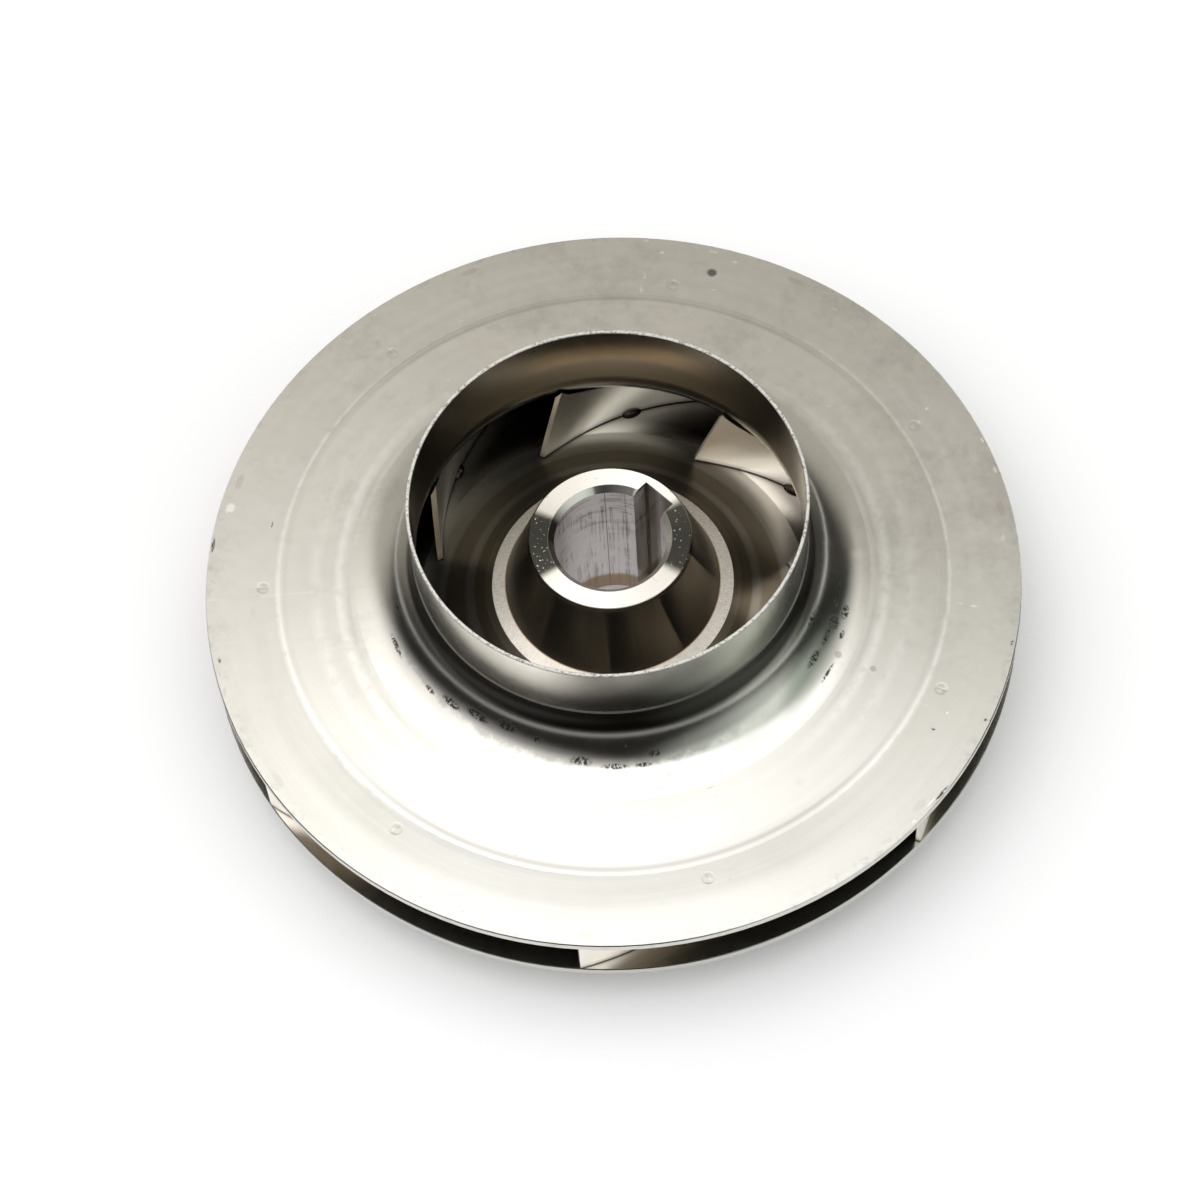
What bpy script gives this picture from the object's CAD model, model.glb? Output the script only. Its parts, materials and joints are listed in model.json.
# %% [markdown]
# # A welded steel pump impeller
# The shape is already exact: two pressed plates, seven blades, a turned hub and their welds
# come in as a fixed frame. What is left for Blender is everything that light does to them.
# Nearly all of that is the finish of stainless steel: turned, pressed, ground, scuffed, burnt.

# %% Load the frame
import bmesh
import bpy
import json
import math
from mathutils import Matrix, Vector

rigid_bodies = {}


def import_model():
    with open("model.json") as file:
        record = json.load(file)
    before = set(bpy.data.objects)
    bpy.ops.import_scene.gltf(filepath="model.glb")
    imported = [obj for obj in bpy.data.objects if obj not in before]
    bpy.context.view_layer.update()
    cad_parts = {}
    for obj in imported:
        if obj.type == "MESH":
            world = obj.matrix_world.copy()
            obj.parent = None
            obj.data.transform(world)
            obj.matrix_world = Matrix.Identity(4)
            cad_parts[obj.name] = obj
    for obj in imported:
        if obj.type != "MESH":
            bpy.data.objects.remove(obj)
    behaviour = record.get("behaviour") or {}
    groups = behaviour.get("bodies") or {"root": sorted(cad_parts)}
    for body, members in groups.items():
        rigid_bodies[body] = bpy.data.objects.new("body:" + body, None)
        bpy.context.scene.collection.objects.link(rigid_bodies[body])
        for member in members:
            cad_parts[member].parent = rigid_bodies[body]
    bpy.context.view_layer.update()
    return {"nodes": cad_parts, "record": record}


for leftover in list(bpy.data.objects):
    bpy.data.objects.remove(leftover)

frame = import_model()
print("pieces:", ", ".join(sorted(frame["nodes"])))

# %% [markdown]
# ## The camera
# The impeller is seen from in front and well above, through a long lens, with the camera
# leaning a little to one side. A constraint that tracks the axis would aim it but not lean
# it, so its matrix is built from plain turns: one about X tips it up from straight down, and
# one about its own Z leans it.

# %% Camera
CAMERA_PLACE = Vector((-0.0031, -0.3517, 0.6388))
CAMERA_ELEVATION = 60.59
CAMERA_LEAN = -4.31
LENS = 97.44
SENSOR_WIDTH = 36

camera_data = bpy.data.cameras.new("camera")
camera_data.lens = LENS
camera_data.sensor_width = SENSOR_WIDTH
camera = bpy.data.objects.new("camera", camera_data)
camera.matrix_world = (
    Matrix.Translation(CAMERA_PLACE)
    @ Matrix.Rotation(math.radians(90 - CAMERA_ELEVATION), 4, "X")
    @ Matrix.Rotation(math.radians(CAMERA_LEAN), 4, "Z")
)
bpy.context.scene.collection.objects.link(camera)
bpy.context.scene.camera = camera
bpy.context.scene.view_settings.view_transform = "Standard"
print("camera stands", round(CAMERA_PLACE.length, 3), "m away")

# %% [markdown]
# ## Shader sums as plain Python
# Every finish below is a sum of masks: where a ring lies, how noisy a stain is, how dark it
# gets. Wiring each sum by hand hides the idea, so one small class wraps a socket and lets
# Python's own operators add the Math nodes. Every other node comes from one method, which
# sets the node's settings first and then its sockets. A tree's first nodes hang on nothing,
# so they start from a wire with no socket.


# %% The socket wrapper
class Wire:
    """One output socket of a node tree, which can be used in sums."""

    def __init__(self, tree, socket=None):
        self.tree = tree
        self.socket = socket

    def node(self, kind, settings, sockets, output=0):
        """A new node: its settings first, then a value or a wire for each socket named."""
        node = self.tree.nodes.new(kind)
        for name, value in settings.items():
            setattr(node, name, value)
        for name, value in sockets.items():
            if isinstance(value, Wire):
                self.tree.links.new(value.socket, node.inputs[name])
            else:
                node.inputs[name].default_value = value
        return Wire(self.tree, node.outputs[output]) if node.outputs else None

    def math(self, operation, *others):
        """A Math node with this wire in its first socket."""
        numbers = dict(enumerate((self,) + others))
        return self.node("ShaderNodeMath", {"operation": operation}, numbers)

    def capped(self, most=1.0):
        """This wire, but never more than that."""
        return self.math("MINIMUM", most)

    def __add__(self, other):
        return self.math("ADD", other)

    __radd__ = __add__

    def __mul__(self, other):
        return self.math("MULTIPLY", other)

    __rmul__ = __mul__

    def __sub__(self, other):
        return self.math("SUBTRACT", other)

    def __rsub__(self, other):
        return self.node("ShaderNodeMath", {"operation": "SUBTRACT"}, {0: other, 1: self})

    def __truediv__(self, other):
        return self.math("DIVIDE", other)


print("a wire takes part in sums with + - * and /")

# %% [markdown]
# ## Coordinates in millimetres
# Turned and pressed parts are made round an axis, so their marks follow circles. The most
# useful coordinates are therefore the distance from the axis, the angle round it and the
# height, and they are easiest to think about in millimetres and degrees. A UV map would have
# to be unwrapped for each piece. Object coordinates need none, and the origin of every piece
# already lies on the axis.

# %% Coordinates of a material
MM_PER_M = 1000
# the gloss of a turned face spreads out from the axis, a quarter turn from its grooves
ACROSS_THE_GROOVES = 0.25


class Surface:
    """A new material, with its coordinates ready as wires."""

    def __init__(self, name):
        self.material = bpy.data.materials.new(name)
        self.material.use_nodes = True
        self.tree = self.material.node_tree
        self.tree.nodes.clear()
        start = Wire(self.tree)
        place = start.node("ShaderNodeTexCoord", {}, {}, "Object")
        self.place = place.node(
            "ShaderNodeVectorMath", {"operation": "SCALE"}, {0: place, "Scale": MM_PER_M}
        )
        self.x = place.node("ShaderNodeSeparateXYZ", {}, {0: self.place}, "X")
        self.y = place.node("ShaderNodeSeparateXYZ", {}, {0: self.place}, "Y")
        self.z = place.node("ShaderNodeSeparateXYZ", {}, {0: self.place}, "Z")
        self.r = (self.x * self.x + self.y * self.y).math("SQRT")
        self.angle = self.y.math("ARCTAN2", self.x) * math.degrees(1)
        facing = start.node("ShaderNodeNewGeometry", {}, {}, "Normal")
        self.normal_z = facing.node("ShaderNodeSeparateXYZ", {}, {0: facing}, "Z")

    def vector(self, x, y, z):
        """Three numbers or wires as one vector."""
        return self.x.node("ShaderNodeCombineXYZ", {}, {"X": x, "Y": y, "Z": z})

    def noise(self, vector, scale, detail=3, roughness=0.55):
        """Noise from 0 to 1, its middle at one half."""
        sockets = {"Vector": vector, "Scale": scale, "Detail": detail, "Roughness": roughness}
        return self.x.node("ShaderNodeTexNoise", {}, sockets)

    def finish(self, colour, roughness, height, distance, turned=0.0):
        """Closes the material.

        A height of 1 rises by distance, in metres, and turned is how far the gloss spreads
        across the tool's grooves.
        """
        normal = self.x.node(
            "ShaderNodeBump", {}, {"Height": height, "Distance": distance, "Strength": 1.0}
        )
        shader = self.x.node(
            "ShaderNodeBsdfPrincipled",
            {},
            {
                "Base Color": colour,
                "Metallic": 1.0,
                "Roughness": roughness,
                "Normal": normal,
                "Anisotropic": turned,
                "Anisotropic Rotation": ACROSS_THE_GROOVES,
            },
        )
        shader.node("ShaderNodeOutputMaterial", {}, {"Surface": shader})
        print(self.material.name, "is made of", len(self.tree.nodes), "nodes")
        return self.material


print("a surface knows its place, x, y, z, r and angle, in millimetres and degrees")

# %% [markdown]
# ## Soft masks and tints
# A mask is 1 where something shows and 0 elsewhere. Real marks have no hard edge, so every
# mask rises smoothly from one value to another. A Color Ramp could shape that rise, but a
# Map Range node takes its two limits as plain numbers. A tint then lays a colour over what
# is already there, so the order of the tints counts.

# %% Masks and tints
# the sockets of a Mix node that carry colours
MIX_A, MIX_B, MIX_RESULT = 6, 7, 2


def ramp(wire, low, high):
    """0 below low, 1 above high and a smooth rise between, or a fall if low is the larger."""
    return wire.node(
        "ShaderNodeMapRange",
        {"interpolation_type": "SMOOTHSTEP"},
        {"Value": wire, "From Min": low, "From Max": high, "To Min": 0.0, "To Max": 1.0},
    )


def band(wire, low, high, soft):
    """1 between low and high, falling to 0 over soft on either side."""
    return ramp(wire, low - soft, low) * ramp(wire, high + soft, high)


def line(wire, centre, width):
    """A soft line that fades out that far on either side of a value."""
    return ramp((wire - centre).math("ABSOLUTE"), width, 0)


def tint(base, other, mask):
    """base, turned into other where the mask is 1."""
    sockets = {0: mask, MIX_A: base, MIX_B: other}
    return mask.node("ShaderNodeMix", {"data_type": "RGBA"}, sockets, MIX_RESULT)


def shade(base, factor):
    """A colour times a number that changes over the surface."""
    grey = factor.node("ShaderNodeCombineColor", {}, {0: factor, 1: factor, 2: factor})
    settings = {"data_type": "RGBA", "blend_type": "MULTIPLY"}
    return factor.node("ShaderNodeMix", settings, {0: 1.0, MIX_A: base, MIX_B: grey}, MIX_RESULT)


print("masks: ramp, band and line; colours: tint and shade")

# %% [markdown]
# ## Places round the axis
# A scuff or a nick lies at one place, so it is told by its distance from the axis and its
# angle, and by how far it reaches along the circle and across it. Painting such marks in an
# image would tie them to its resolution. A Mapping node instead moves, turns and stretches
# the coordinates until the patch is a plain circle of size 1.

# %% Wedges and spots
# a patch reaches so far up and down that only its place round the axis counts
ANY_HEIGHT = 1e4
# a spot is full out to this share of its size
SPOT_CORE = 0.45


def turn_from(surface, degrees, fold=360):
    """How far round the axis from an angle, counted from the nearest of its repeats."""
    return (surface.angle - degrees + fold / 2).math("FLOORED_MODULO", fold) - fold / 2


def sector(surface, degrees, half, soft):
    """1 inside a wedge round the axis, with soft sides."""
    return ramp(turn_from(surface, degrees).math("ABSOLUTE"), half + soft, half)


def oval(place, radius, degrees, along, across):
    """0 at a place round the axis and 1 on an oval round it; along is the way round."""
    turn = math.radians(degrees)
    sockets = {
        "Vector": place,
        "Location": (radius * math.cos(turn), radius * math.sin(turn), 0),
        "Rotation": (0, 0, turn),
        "Scale": (across, along, ANY_HEIGHT),
    }
    own = place.node("ShaderNodeMapping", {"vector_type": "TEXTURE"}, sockets)
    return own.node("ShaderNodeVectorMath", {"operation": "LENGTH"}, {0: own}, "Value")


def spot(*where):
    """A patch of the shape of oval, full in its core and fading to its edge."""
    return ramp(oval(*where), 1, SPOT_CORE)


print("places: sector, oval and spot")

# %% [markdown]
# ## Bare steel
# All the pieces are the same stainless steel. What differs is the tool that touched it last,
# so each finish starts from one colour and one recipe for the fine marks left by turning:
# noise that changes fast across a circle and slowly along it. The real grooves are too fine
# to model, and an anisotropic gloss alone would show no single rings.

# %% Colours that the pieces share
STEEL = (0.660, 0.643, 0.597, 1)
OLIVE = (0.240, 0.205, 0.150, 1)
STRAW = (0.560, 0.400, 0.230, 1)
RUST = (0.220, 0.130, 0.070, 1)
SOOT = (0.020, 0.017, 0.014, 1)
BLADES = 7
BLADE_STEP = 360 / BLADES
# the depth of a finish's marks is told in these
MICROMETRE = 1e-6
# a groove of the tool runs on for about this many degrees
GROOVE_LENGTH = 40


def turning_marks(surface, pitch):
    """Noise drawn out into rings about the axis, one ring for each pitch in millimetres."""
    turn = surface.angle / GROOVE_LENGTH
    across = surface.vector(surface.r / pitch, surface.z / pitch, turn)
    return surface.noise(across, 1.0, 2, 0.6)


print("a blade comes every", round(BLADE_STEP, 2), "degrees")

# %% [markdown]
# ## The front plate
# The big plate is drawn from sheet in a press, then its neck is turned on a lathe. Its finish
# has many layers, so it is built in steps: first the regions that the layers share, then one
# step for each kind of mark, and at the end the tints, laid one over the other.

# %% Front plate: regions
# the plate's own sizes, in millimetres from the axis and above the table
RIM_R = 88.5
STEP_R, STEP_WIDTH = 72.0, 0.8
DIMPLE_R, DIMPLE_ANGLE, DIMPLE_SIZE = 76.0, 24.1, 1.5
NECK_R = 42.3
SHOULDER_Z, LIP_Z = 42.0, 57.9


class FrontPlate(Surface):
    """The front plate's material, with the noises and regions that its layers share."""

    def __init__(self):
        super().__init__("front plate")
        self.cloud = self.noise(self.place, 0.035, 4, 0.6)
        self.mottle = self.noise(self.place, 0.35, 4, 0.65)

        # the side that faces up and out, and on it the turned neck
        wall = ramp(self.r, NECK_R - 0.2, NECK_R - 0.05)
        self.outside = wall * ramp(self.normal_z, -0.6, -0.3)
        self.neck = ramp(self.z, SHOULDER_Z + 0.4, SHOULDER_Z + 0.9) * self.outside
        self.below_neck = ramp(self.z, SHOULDER_Z + 0.2, SHOULDER_Z)

        # left and right of the axis, and the half that lies away from the camera
        self.sides = ramp(self.x.math("ABSOLUTE") / self.r, 0.50, 0.90)
        self.far = ramp(self.y, -50, 5)

        # the same place over each of the seven blades
        turn = turn_from(self, 0, BLADE_STEP) * math.radians(1)
        self.over_blade = self.vector(
            turn.math("COSINE") * self.r, turn.math("SINE") * self.r, 0
        )


print("the turned neck is", round(LIP_Z - SHOULDER_Z, 1), "mm high")

# %% [markdown]
# ### What the making left
# The press leaves rings where the sheet bent: dark where dirt stays in them, and bright at
# both sides, where they were rubbed. The resistance welds that hold the blades show from
# outside as dull brown dots, and three stray ones lie near the bend. All of this is colour
# with next to no depth, so soft lines and spots serve better than cuts in the mesh.

# %% Front plate: press rings and weld dots
# rings: distance from the axis, width and strength
RUBBED_RINGS = [(72.8, 0.9, 1.0), (64.6, 2.2, 0.35), (59.4, 1.6, 0.8)]
DARK_RING_AT_STEP = (71.3, 0.9)
DARK_RING_IN_FACE = (57.4, 0.9)
# dots: distance from the axis, degrees round it, half length, half width and strength
DOTS_OVER_BLADES = [
    (86.0, 5.6, 2.6, 1.0, 0.30),
    (76.0, 24.1, 1.9, 1.7, 0.20),
    (65.0, 46.0 - BLADE_STEP, 1.5, 1.3, 0.14),
]
STRAY_DOTS = [
    (53.1, -28.6, 1.1, 1.1, 0.5),
    (61.1, -28.5, 0.9, 0.9, 0.5),
    (51.7, -80.5, 0.8, 0.9, 0.4),
]


def rubbed_rings(s):
    rings = sum(line(s.r, radius, width) * strength for radius, width, strength in RUBBED_RINGS)
    return rings * s.sides * ramp(s.mottle, 0.25, 0.55)


def dark_rings(s):
    at_step = line(s.r, *DARK_RING_AT_STEP) * (1 - 0.8 * s.sides)
    in_face = line(s.r, *DARK_RING_IN_FACE) * 0.5
    return at_step + in_face * ramp(s.cloud, 0.4, 0.6) * s.sides


def weld_dots(s):
    dots = sum(spot(s.over_blade, *where) * strength for *where, strength in DOTS_OVER_BLADES)
    stray = sum(spot(s.place, *where) * strength for *where, strength in STRAY_DOTS)
    return dots * (0.35 + 0.65 * s.far) + stray


print("weld dots:", BLADES * len(DOTS_OVER_BLADES), "over the blades,", len(STRAY_DOTS), "stray")

# %% [markdown]
# ### What handling left
# Years of handling leave bright nicks along the rim, short dashes all over the face and
# black scuffs in the bend. Noise could scatter them all, but wear gathers where a part is
# held and knocked, so each nick and scuff has its own place. Noise only breaks up their
# outlines, because a clean oval looks painted on.

# %% Front plate: nicks and scuffs
# marks: distance from the axis, degrees round it, half length and half width
NICKS = [
    (77.8, 80.7, 0.5, 1.1),
    (73.9, 81.0, 0.5, 1.3),
    (87.6, 81.2, 1.2, 0.4),
    (84.6, 78.3, 0.7, 0.4),
    (86.9, 70.6, 1.4, 0.45),
    (85.6, 66.9, 0.8, 0.4),
    (75.4, -11.3, 0.3, 1.1),
    (78.0, -11.5, 0.3, 1.6),
    (85.1, 0.6, 1.3, 0.6),
    (87.5, 11.9, 1.2, 0.5),
    (87.7, 17.2, 1.0, 0.4),
    (80.7, 25.9, 0.4, 0.7),
    (84.0, 49.1, 0.9, 0.4),
    (86.0, 164.5, 1.8, 1.3),
    (87.7, -48.3, 0.7, 0.4),
    (87.4, -44.5, 1.8, 0.25),
    (74.6, -31.2, 0.8, 0.5),
    (77.4, -27.7, 0.4, 0.4),
    (79.4, -30.9, 0.4, 0.4),
]
SCUFFS = [
    (49.3, -13.5, 4.2, 0.6),
    (51.5, -17.5, 2.2, 1.0),
    (49.8, -21.5, 2.6, 1.5),
    (49.4, -26.0, 2.8, 0.8),
    (52.2, -23.5, 1.4, 0.6),
    (49.2, -33.0, 3.4, 0.9),
    (53.0, -34.0, 3.2, 0.4),
    (45.6, -24.5, 3.0, 0.5),
    (48.2, -101.5, 3.0, 1.0),
    (48.9, -93.0, 3.4, 0.7),
    (49.0, -86.0, 2.4, 0.5),
    (47.4, -83.0, 2.0, 0.8),
    (46.2, -113.3, 1.2, 0.7),
    (47.3, -171.2, 2.4, 0.5),
    (49.9, -161.5, 3.8, 0.6),
    (48.9, -145.9, 1.8, 0.6),
    (47.8, -139.0, 3.2, 0.8),
    (46.7, -131.0, 3.6, 0.9),
    (45.9, -122.5, 3.0, 1.0),
    (87.8, 171.0, 2.4, 0.5),
    (75.9, 166.3, 1.0, 0.3),
    (78.4, -34.4, 0.4, 0.7),
    (87.6, -16.8, 0.8, 0.5),
    (87.4, -29.6, 0.5, 0.5),
    (87.9, -42.5, 2.6, 0.4),
    (86.9, -170.0, 1.0, 0.4),
]


def bright_nicks(s):
    nicks = sum(spot(s.place, *nick) for nick in NICKS)
    return (nicks * ramp(s.mottle, 0.40, 0.52)).capped()


def black_scuffs(s):
    crumbs = ramp(s.noise(s.vector(s.r * 1.2, s.angle * 1.3, 0), 1.0, 5, 0.75), 0.42, 0.54)
    return (crumbs * sum(spot(s.place, *scuff) for scuff in SCUFFS)).capped()


def light_dashes(s):
    skewed = s.vector(s.x * 0.30 + s.y * 0.14, s.y * 1.7 - s.x * 0.5, 0)
    return ramp(s.noise(skewed, 1.0, 2, 0.5), 0.74, 0.80)


print(len(NICKS), "nicks and", len(SCUFFS), "scuffs")

# %% [markdown]
# ### What use left
# Dirt settles as dull stains and specks over the far half and as a crust towards the rim.
# Grease stays in the groove under the turned neck. Thin dark films of oil dim the near side
# of the neck and of the bend, and in the oiliest place the steel looks faintly green. One
# layer of noise over everything would look like fog, so each kind of dirt has its own mask.

# %% Front plate: dirt, grease and films
# spots: distance from the axis, degrees round it, half length and half width
LONE_DOT = (81.2, 69.8, 1.5, 1.4)
OILY_PLACE = (48.3, -27, 24, 5)
# wedges: degrees round the axis, half their width and their soft edge
FILM_ON_NECK = (-83, 13, 22)
FILM_IN_BEND = (-105, 65, 40)
FILM_UNDER_BEND = (-112, 42, 22)
CRUST_WIDTH = 3.5


def dirt(s):
    stain = ramp(s.noise(s.place, 0.055, 5, 0.72), 0.46, 0.70)
    specks = ramp(s.noise(s.place, 0.9, 5, 0.8), 0.66, 0.72)
    crust = ramp(s.noise(s.place, 0.35, 5, 0.75), 0.50, 0.66)
    crust = ramp(s.r, RIM_R - CRUST_WIDTH, RIM_R + 0.1) * crust
    return (stain * 0.20 + specks * 0.3) * (0.2 + 0.8 * s.far) + crust * 0.22


def grease(s):
    groove = band(s.r, NECK_R + 0.2, NECK_R + 1.2, 0.8)
    return groove * ramp(s.z, SHOULDER_Z + 0.3, SHOULDER_Z)


def oil_film(s):
    on_neck = (0.03 + 0.66 * sector(s, *FILM_ON_NECK)) * s.neck * (0.6 + 0.8 * s.cloud)
    in_bend = 0.30 * sector(s, *FILM_IN_BEND) * band(s.r, 43.2, 47.0, 1.5) * s.below_neck
    ragged = ramp(s.r + 4 * s.mottle, 51.6, 50.2) * s.below_neck
    under_bend = 0.30 * sector(s, *FILM_UNDER_BEND) * ragged
    return (on_neck + in_bend + under_bend).capped(0.85)


print("the rim's crust is", CRUST_WIDTH, "mm wide")

# %% [markdown]
# ### The sheet's colours
# The masks become colours here, from the bottom layer up. One function for each group of
# layers keeps the order easy to read and to change. The inside of the neck has taken a brown
# heat tint, which is straw-coloured in one place.

# %% Front plate: colours
DULL_DIRT = (0.20, 0.195, 0.16, 1)
RUBBED = (0.92, 0.92, 0.89, 1)
NICKED = (0.92, 0.91, 0.88, 1)
DASH_GREY = (0.25, 0.24, 0.21, 1)
OIL_GREEN = (0.30, 0.335, 0.28, 1)
STRAW_PLACE = (41.5, 84, 24, 30)
NEAR_WEDGE = (-100, 28, 30)


def sheet_colour(s):
    """Pressed sheet, a little lighter on the far face and darker near the camera."""
    colour = shade(STEEL, 0.96 + 0.10 * s.cloud + 0.05 * s.mottle - 0.22 * dark_rings(s))
    lighter = 0.14 * band(s.r, 58, 71, 2) * ramp(s.y, 0, 40)
    darker = 0.16 * band(s.r, STEP_R, 78, 4) * sector(s, *NEAR_WEDGE)
    colour = shade(colour, 1.0 + lighter - darker)
    colour = tint(colour, DULL_DIRT, dirt(s).capped(0.6) * s.outside)
    return tint(colour, RUBBED, rubbed_rings(s).capped() * s.outside * 0.55)


def with_inside(s, colour):
    """The brown inside of the neck and the dark underside of the plate."""
    inside = 1 - s.outside
    straw = spot(s.place, *STRAW_PLACE) * band(s.z, 49, 52, 3) * inside
    colour = tint(colour, OLIVE, inside * 0.95)
    colour = tint(colour, SOOT, inside * band(s.r, 46, 72, 5) * 0.75)
    return tint(colour, STRAW, straw * 0.5)


def with_marks(s, colour, welds, soot, dashes):
    """Single marks, then the oil, grease and soot that lie over them."""
    colour = tint(colour, RUST, welds.capped() * 0.8)
    colour = tint(colour, NICKED, bright_nicks(s) * 0.8)
    colour = tint(colour, DASH_GREY, dashes * s.outside * 0.35)
    oily = spot(s.place, *OILY_PLACE) * s.outside * s.below_neck
    colour = tint(colour, OIL_GREEN, oily * 0.75)
    lone_dot = spot(s.place, *LONE_DOT)
    black = soot + 0.9 * grease(s) * s.outside + 0.75 * lone_dot * s.outside
    colour = tint(colour, SOOT, black.capped(0.9))
    return shade(colour, 1 - oil_film(s))


print("layers: sheet, inside of the neck, marks")

# %% [markdown]
# ### Gloss and relief
# The lathe left the top of the neck raw: bright, rough and pitted. Wear has softened the step
# and the weld dimples, so both catch less light than sharp ones. The mesh stays as the frame
# gave it, and a bump that leans against their slopes does the softening.

# %% Front plate: the whole finish
RAW_EDGE = (0.86, 0.85, 0.82, 1)
RAW_PITS = (0.30, 0.28, 0.25, 1)


def front_plate():
    s = FrontPlate()
    grain = s.noise(s.place, 3.0, 2)
    rings = turning_marks(s, 0.5)
    waves = s.noise(s.vector(s.r / 5, s.angle / 70, 0), 1.0, 1)
    welds, soot, dashes = weld_dots(s), black_scuffs(s), light_dashes(s)
    colour = with_inside(s, sheet_colour(s))
    colour = with_marks(s, colour, welds, soot, dashes)

    lip = ramp(s.z, LIP_Z - 0.4, LIP_Z - 0.15)
    raw = s.noise(s.place, 1.7, 4, 0.75)
    colour = tint(colour, RAW_EDGE, lip * 0.8)
    colour = tint(colour, RAW_PITS, lip * ramp(raw, 0.47, 0.41))

    roughness = 0.3 * lip + 0.13 + 0.07 * s.mottle + 0.03 * rings + 0.12 * welds + 0.3 * soot
    worn_step = ((s.r - STEP_R) / STEP_WIDTH).capped(1).math("MAXIMUM", 0)
    dimple = oval(s.over_blade, DIMPLE_R, DIMPLE_ANGLE, DIMPLE_SIZE, DIMPLE_SIZE)
    worn_dimple = ramp(dimple, 1, 0) * s.outside
    height = 0.3 * rings + 0.10 * grain + 0.4 * s.mottle + 5 * raw * lip
    height = height + 3 * waves + 6 * worn_step + 3.6 * worn_dimple - 1.5 * dashes
    return s.finish(colour, roughness, height, 12 * MICROMETRE)


finishes = {"front_plate": front_plate()}

# %% [markdown]
# ## The back plate
# Seen only through the eye, this plate shows the rings of its own press tool: bands that were
# rubbed bright, bands that stayed dull, and a brown bloom where the hub was welded in. No
# light reaches far between the blades, and grime has settled there. Everything but the grime
# is a plain band on the distance from the axis, which is how the tool touched it.

# %% Back plate
# distances from the axis in millimetres; a band has two edges and the width of their fade
DOME_FOOT_R = 42.9
BLOOM_EDGE, BLOOM_CORE = 33, 26.5
DULL_BANDS = [(33.0, 36.5, 1.2), (28.6, 30.0, 0.8)]
GRIMY_BAND = (47, 74, 4)


def back_plate():
    s = Surface("back plate")
    cloud = s.noise(s.place, 0.06, 4, 0.6)
    mottle = s.noise(s.place, 0.6, 4, 0.7)
    rings = turning_marks(s, 0.45)
    wide_rings = turning_marks(s, 3.2)
    dome = ramp(s.r, DOME_FOOT_R + 0.3, DOME_FOOT_R - 0.3)
    bloom = ramp(s.r, BLOOM_EDGE, BLOOM_CORE)
    dull = sum(band(s.r, *edges) for edges in DULL_BANDS)
    grime = band(s.r, *GRIMY_BAND) * ramp(s.normal_z, 0.3, 0.6)

    colour = shade(STEEL, 0.74 + 0.15 * cloud + 0.14 * wide_rings - 0.10 * dome)
    colour = tint(colour, OLIVE, (dull * 0.55 + bloom * 0.5 + dome * 0.3).capped())
    colour = tint(colour, SOOT, grime * 0.7)
    roughness = 0.14 + 0.14 * dome + 0.06 * mottle + 0.05 * rings
    height = 0.5 * rings + 0.6 * mottle
    return s.finish(colour, roughness, height, 10 * MICROMETRE)


finishes["back_plate"] = back_plate()

# %% [markdown]
# ## The blades
# The blades are cut from smooth rolled sheet, so they are the brightest thing inside. Heat
# has browned them along their feet, and soot lies in the corner where they meet the plate.
# The foot climbs the dome, so a mask on plain height would cut across it. The plate's own
# height is worked out from the distance to the axis and taken away first.

# %% Blades
# the back plate under the blades, in millimetres: flat, then a dome with a straight flank
PLATE_TOP = 15.6
DOME_EDGE_R, DOME_EDGE_Z = 38.4, 16.7
DOME_SLOPE = 0.503
DOME_FOOT_BLEND = 1.1
ROLLED_SHEET = (0.97, 0.91, 0.82, 1)


def blade():
    s = Surface("blade")
    cloud = s.noise(s.place, 0.07, 4, 0.6)
    mottle = s.noise(s.place, 0.9, 4, 0.7)
    scratch = ramp(s.noise(s.vector(s.x * 0.3, s.y * 0.3, s.z * 4), 0.8, 3), 0.62, 0.70)
    flank = DOME_EDGE_Z + (DOME_EDGE_R - s.r) * DOME_SLOPE
    above = s.z - flank.math("SMOOTH_MAX", PLATE_TOP, DOME_FOOT_BLEND)
    colour = shade(ROLLED_SHEET, 0.94 + 0.10 * cloud)
    colour = tint(colour, OLIVE, ramp(above, 2.2, 0.4) * 0.5)
    colour = tint(colour, SOOT, ramp(above, 0.55, 0.35))
    roughness = 0.28 + 0.06 * mottle + 0.06 * scratch
    return s.finish(colour, roughness, 0.3 * mottle + 0.2 * scratch, 4 * MICROMETRE)


finishes["blade"] = blade()

# %% [markdown]
# ## The hub
# One piece, four finishes: a face turned bright, a taper polished like a mirror, a bore with
# the draw marks of the shaft, and a tan stain at its far end. Its faces could get a material
# each, but they would have to be picked one by one. Height and radius tell them apart, so
# masks on those two numbers are enough. The face was polished unevenly: two wedges are
# darker, and pricked with bright pits. Across the bore's fine marks run smears, and two
# deeper scores run along it.

# %% Hub: regions and colours
# heights above the table and distances from the axis, in millimetres
FACE_TOP = 41.6
CHAMFER_FOOT_Z = 40.3
CHAMFER_R = 13.3
# nearer the axis than this is bore and keyway, and farther out is taper
BORE_SIDE_R = 15.3
TAN_END_Z = 8.2
# wedges: degrees round the axis, half their width and their soft edge
DARK_WEDGES = [(181, 24, 8), (-4, 26, 10)]
DARK_CHAMFER = [(82, 18, 4), (181, 24, 6)]
# scores along the bore: degrees round the axis, width and strength
BORE_SCORES = [(92, 0.8, 1.0), (71, 0.6, 0.7)]
BORE_STEEL = (1.0, 0.97, 0.97, 1)
BORE_MARKS = (0.24, 0.20, 0.22, 1)
TAN_STAIN = (0.42, 0.27, 0.13, 1)
POLISHED_TAPER = (0.20, 0.17, 0.125, 1)
TURNED_FACE = (1.0, 0.94, 0.86, 1)
FACE_WEDGES = (0.045, 0.046, 0.038, 1)
FACE_NICKS = (0.25, 0.24, 0.22, 1)
CHAMFER_ENDS = (0.12, 0.12, 0.11, 1)


def draw_marks(s):
    """Long fine marks along the bore, left by the shaft."""
    return s.noise(s.vector(s.x * 1.7, s.y * 1.7, s.z * 0.06), 0.8, 5, 0.75)


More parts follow.
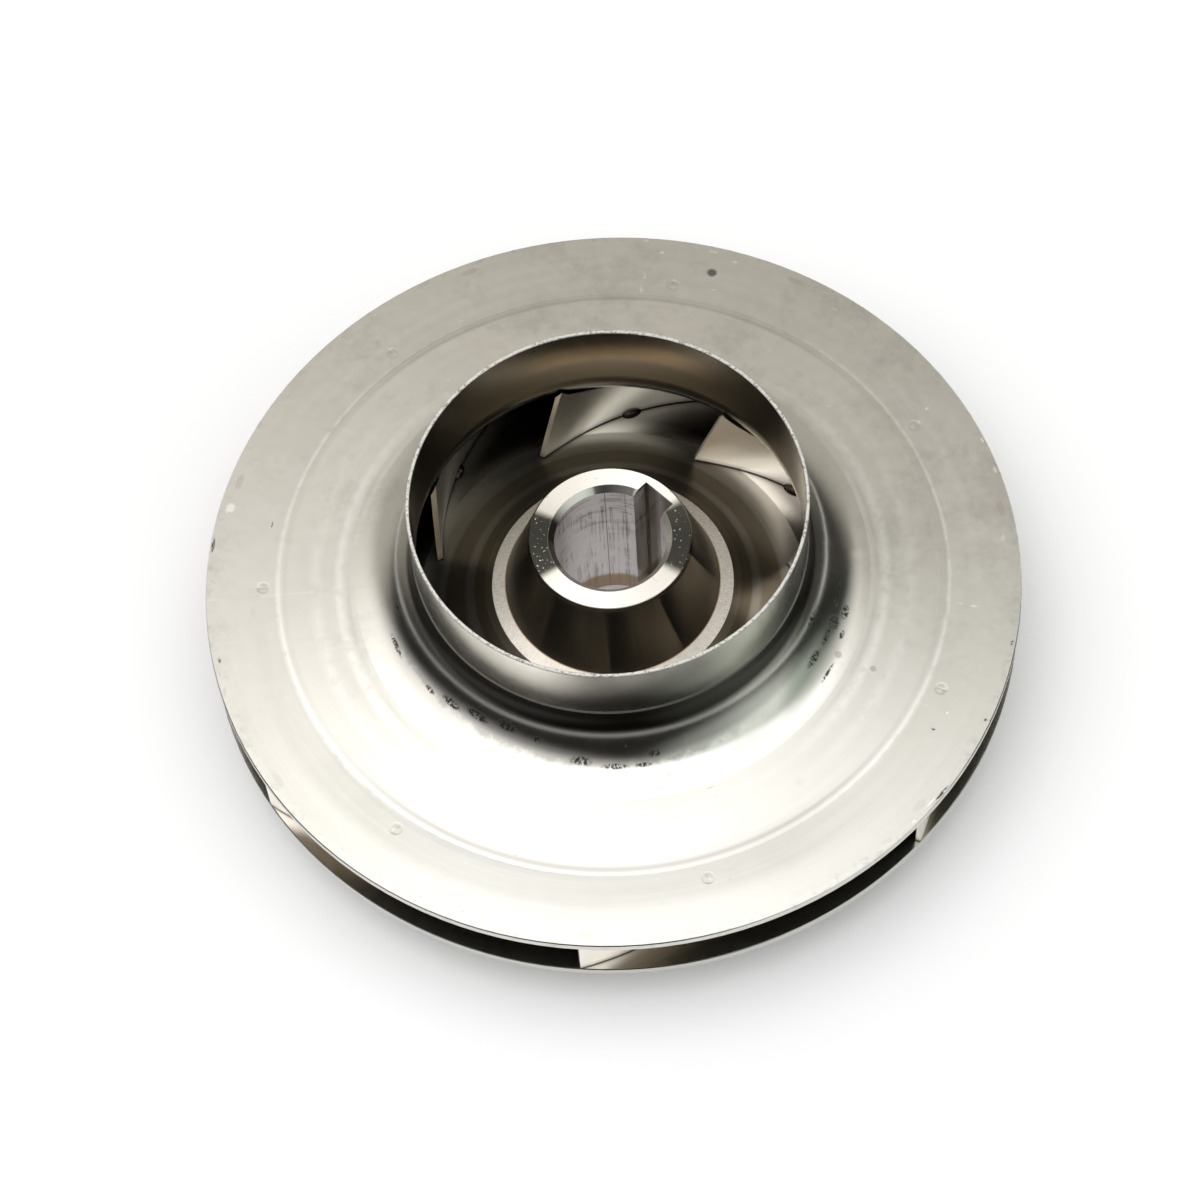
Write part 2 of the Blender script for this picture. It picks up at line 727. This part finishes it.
def bore_wear(s, drawn):
    """Where the bore is dull: worn patches, smears across it and two scores."""
    patches = s.noise(s.vector(s.x * 0.14, s.y * 0.14, s.z * 0.16), 1.0, 3)
    smears = s.noise(s.vector(s.x * 0.12, s.y * 0.12, s.z * 0.55), 1.0, 4, 0.65)
    worn = ramp(drawn, 0.48, 0.62) * ramp(patches, 0.40, 0.60) * 0.5
    dull = ramp(smears, 0.50, 0.62) * ramp(s.z, 18, 30) * 0.35 + 0.12 * ramp(s.z, 26, 38)
    scores = sum(line(s.angle, turn, width) * depth for turn, width, depth in BORE_SCORES)
    return (worn + dull + scores).capped(0.9)


print("the hub's face lies", FACE_TOP, "mm above the table")


# %% Hub: the whole finish
def hub():
    s = Surface("hub")
    cloud = s.noise(s.place, 0.12, 4, 0.6)
    mottle = s.noise(s.place, 1.2, 4, 0.7)
    bore = ramp(s.r, BORE_SIDE_R + 0.1, BORE_SIDE_R - 0.1)
    bore = bore * ramp(s.z, CHAMFER_FOOT_Z, CHAMFER_FOOT_Z - 0.1)
    chamfer = ramp(s.r, CHAMFER_R + 0.05, CHAMFER_R - 0.1)
    chamfer = chamfer * ramp(s.z, CHAMFER_FOOT_Z - 0.05, CHAMFER_FOOT_Z + 0.05)
    face = ramp(s.z, FACE_TOP - 0.3, FACE_TOP - 0.1) * (1 - chamfer)
    taper = ramp(s.r, BORE_SIDE_R - 0.1, BORE_SIDE_R + 0.1)
    taper = taper * ramp(s.z, FACE_TOP - 0.3, FACE_TOP - 0.5)

    wedges = sum(sector(s, *wedge) for wedge in DARK_WEDGES)
    pits = ramp(s.noise(s.place, 1.7, 3, 0.6), 0.65, 0.68)
    nicks = ramp(s.noise(s.vector(s.x * 0.9, s.y * 2.4, s.z), 1.1, 3, 0.6), 0.66, 0.70)
    ends = sum(sector(s, *wedge) for wedge in DARK_CHAMFER)
    drawn = draw_marks(s)
    tan_end = ramp(s.z + 3 * cloud, TAN_END_Z, TAN_END_Z - 1.8) * bore

    colour = shade(STEEL, 1.0 + 0.10 * cloud)
    colour = tint(colour, BORE_STEEL, bore)
    colour = tint(colour, BORE_MARKS, bore * bore_wear(s, drawn))
    colour = tint(colour, TAN_STAIN, tan_end * 0.8)
    colour = tint(colour, POLISHED_TAPER, taper * 0.88)
    colour = tint(colour, TURNED_FACE, face * 0.9)
    colour = tint(colour, FACE_WEDGES, face * wedges * (0.97 - 0.85 * pits))
    colour = tint(colour, FACE_NICKS, face * nicks * 0.5)
    colour = tint(colour, CHAMFER_ENDS, chamfer * ends * 0.85)
    roughness = 0.28 * bore + 0.26 * face + 0.16 * taper + 0.14 * chamfer + 0.06 * mottle
    height = 0.8 * drawn * bore + 0.2 * turning_marks(s, 0.35) * face + 0.05 * mottle
    return s.finish(colour, roughness, height, 20 * MICROMETRE, turned=1.0)


finishes["hub"] = hub()

# %% [markdown]
# ## The welds
# The weld round the hub was ground flush with a coarse disc: bright, matt, with marks that
# cross it. The marks are only hundredths of a millimetre deep, so bump draws them. The disc
# has also flattened the ring, which leans less than the plate's flank around it, and a bump
# that rises outwards stands for that. The tacks at the blades' feet were left as they fell:
# black, with a glassy top.

# %% Welds
HEATED_EDGE_R = 23.6
BRIGHT_WEDGE = (-115, 20, 45)
GROUND_STEEL = (1.0, 0.93, 0.82, 1)
HEAT_BROWN = (0.30, 0.20, 0.12, 1)
BURNT_BLACK = (0.035, 0.028, 0.022, 1)
GLASSY_BROWN = (0.30, 0.24, 0.18, 1)


def ground_weld():
    s = Surface("ground weld")
    streaks = s.vector(s.r * 0.5 + s.angle * 0.15, s.angle * 0.8, s.z)
    swirl = s.noise(streaks, 1.6, 3, 0.7)
    scratches = s.noise(s.vector(s.r * 0.7 - s.angle * 0.5, s.angle * 2.4, 0), 1.2, 4, 0.75)
    speck = ramp(s.noise(s.place, 2.4, 3, 0.7), 0.66, 0.74)
    heat = ramp(s.r, HEATED_EDGE_R + 0.15, HEATED_EDGE_R - 0.15)
    worn = 0.42 + 0.30 * swirl + 0.25 * sector(s, *BRIGHT_WEDGE)
    colour = shade(GROUND_STEEL, worn - 0.30 * ramp(scratches, 0.52, 0.66))
    colour = tint(colour, HEAT_BROWN, heat * 0.9)
    colour = tint(colour, RUST, speck * 0.4)
    height = 0.35 * swirl + 0.25 * scratches + 0.8 * s.r
    return s.finish(colour, 0.30 + 0.15 * swirl, height, 250 * MICROMETRE)


def burnt_weld():
    s = Surface("burnt weld")
    lumps = s.noise(s.place, 1.1, 3, 0.6)
    colour = tint(BURNT_BLACK, GLASSY_BROWN, ramp(lumps, 0.55, 0.75))
    return s.finish(colour, 0.18 + 0.3 * lumps, lumps, 100 * MICROMETRE)


finishes["ground_weld"] = ground_weld()
finishes["burnt_weld"] = burnt_weld()

# %% [markdown]
# ## Each piece gets its finish
# The record names a finish for every piece, so the pieces need no list of their own here.
# A piece's material slots are emptied first, so that nothing plain is left in them.

# %% Put the finishes on
slots = {part["node"]: part["material_slot"] for part in frame["record"]["subparts"]}
for name, piece in frame["nodes"].items():
    piece.data.materials.clear()
    piece.data.materials.append(finishes[slots[name]])
    print(name, "gets", piece.data.materials[0].name)

# %% [markdown]
# ## The floor
# A round table of plain pale paper carries the impeller. A square one would do as well, but
# the steel mirrors its surroundings, and a round one has no corner to show there. It glows
# very slightly, as if lit by the pale walls of a room, so that the shade under the rim
# doesn't turn black.

# %% Floor
FLOOR_SIZE = 1.6
FLOOR_SEGMENTS = 96
PAPER = (0.95, 0.95, 0.95, 1)
PAPER_ROUGHNESS = 0.5
PAPER_GLOW = 0.03

floor_mesh = bpy.data.meshes.new("floor")
floor = bpy.data.objects.new("floor", floor_mesh)
bpy.context.scene.collection.objects.link(floor)
build = bmesh.new()
bmesh.ops.create_circle(build, cap_ends=True, segments=FLOOR_SEGMENTS, radius=FLOOR_SIZE / 2)
build.to_mesh(floor_mesh)
build.free()

paper = bpy.data.materials.new("pale table")
paper.use_nodes = True
paper_shader = paper.node_tree.nodes["Principled BSDF"]
paper_shader.inputs["Base Color"].default_value = PAPER
paper_shader.inputs["Roughness"].default_value = PAPER_ROUGHNESS
paper_shader.inputs["Emission Color"].default_value = (1, 1, 1, 1)
paper_shader.inputs["Emission Strength"].default_value = PAPER_GLOW
floor_mesh.materials.append(paper)
print("the table is", FLOOR_SIZE, "m across")

# %% [markdown]
# ## The light
# Polished steel shows its surroundings more than itself. Area lamps would appear in it with
# hard edges, so the light is painted on the sky as soft round patches. A broad one hangs
# overhead, the strongest stands high on the left, and two dimmer ones stand on the right, one
# of them in front. A wide, weak and warm one plays the back wall. The side of the room where
# the camera stands stays dark, which draws the dark bands into the bend of the neck.

# %% Sky
# each light: azimuth from +X and elevation, the angles at which it fades, strength, colour
SOFT_LIGHTS = {
    "overhead": (-92, 86, 27, 35, 0.91, (0.97, 1.0, 1.04)),
    "left": (-158, 63, 0, 53, 1.55, (1.0, 0.99, 0.99)),
    "right front": (-36, 35, 2, 42, 0.99, (0.93, 1.0, 0.95)),
    "right": (24, 58, 4, 22, 0.85, (1.0, 0.99, 0.97)),
    "back wall": (100, 26, 31, 61, 0.48, (1.0, 0.96, 0.86)),
}
ROOM_COLOUR = (1.0, 0.96, 0.88)
ROOM_GLOW = 0.05


def direction_to(azimuth, elevation):
    """The unit vector that points there."""
    turn, rise = math.radians(azimuth), math.radians(elevation)
    level = math.cos(rise)
    return (level * math.cos(turn), level * math.sin(turn), math.sin(rise))


world = bpy.data.worlds.new("studio")
world.use_nodes = True
sky = world.node_tree
sky.nodes.clear()
direction = Wire(sky).node("ShaderNodeTexCoord", {}, {}, "Generated")
glow = tuple(ROOM_GLOW * part for part in ROOM_COLOUR)
for azimuth, elevation, inner, outer, strength, colour in SOFT_LIGHTS.values():
    sockets = {0: direction, 1: direction_to(azimuth, elevation)}
    facing = direction.node(
        "ShaderNodeVectorMath", {"operation": "DOT_PRODUCT"}, sockets, "Value"
    )
    edge, core = math.cos(math.radians(outer)), math.cos(math.radians(inner))
    patch = ramp(facing, edge, core) * strength
    sockets = {0: colour, "Scale": patch}
    light = patch.node("ShaderNodeVectorMath", {"operation": "SCALE"}, sockets)
    glow = light.node("ShaderNodeVectorMath", {"operation": "ADD"}, {0: glow, 1: light})
backdrop = glow.node("ShaderNodeBackground", {}, {"Color": glow, "Strength": 1.0})
backdrop.node("ShaderNodeOutputWorld", {}, {"Surface": backdrop})
bpy.context.scene.world = world
print("lights:", ", ".join(SOFT_LIGHTS))
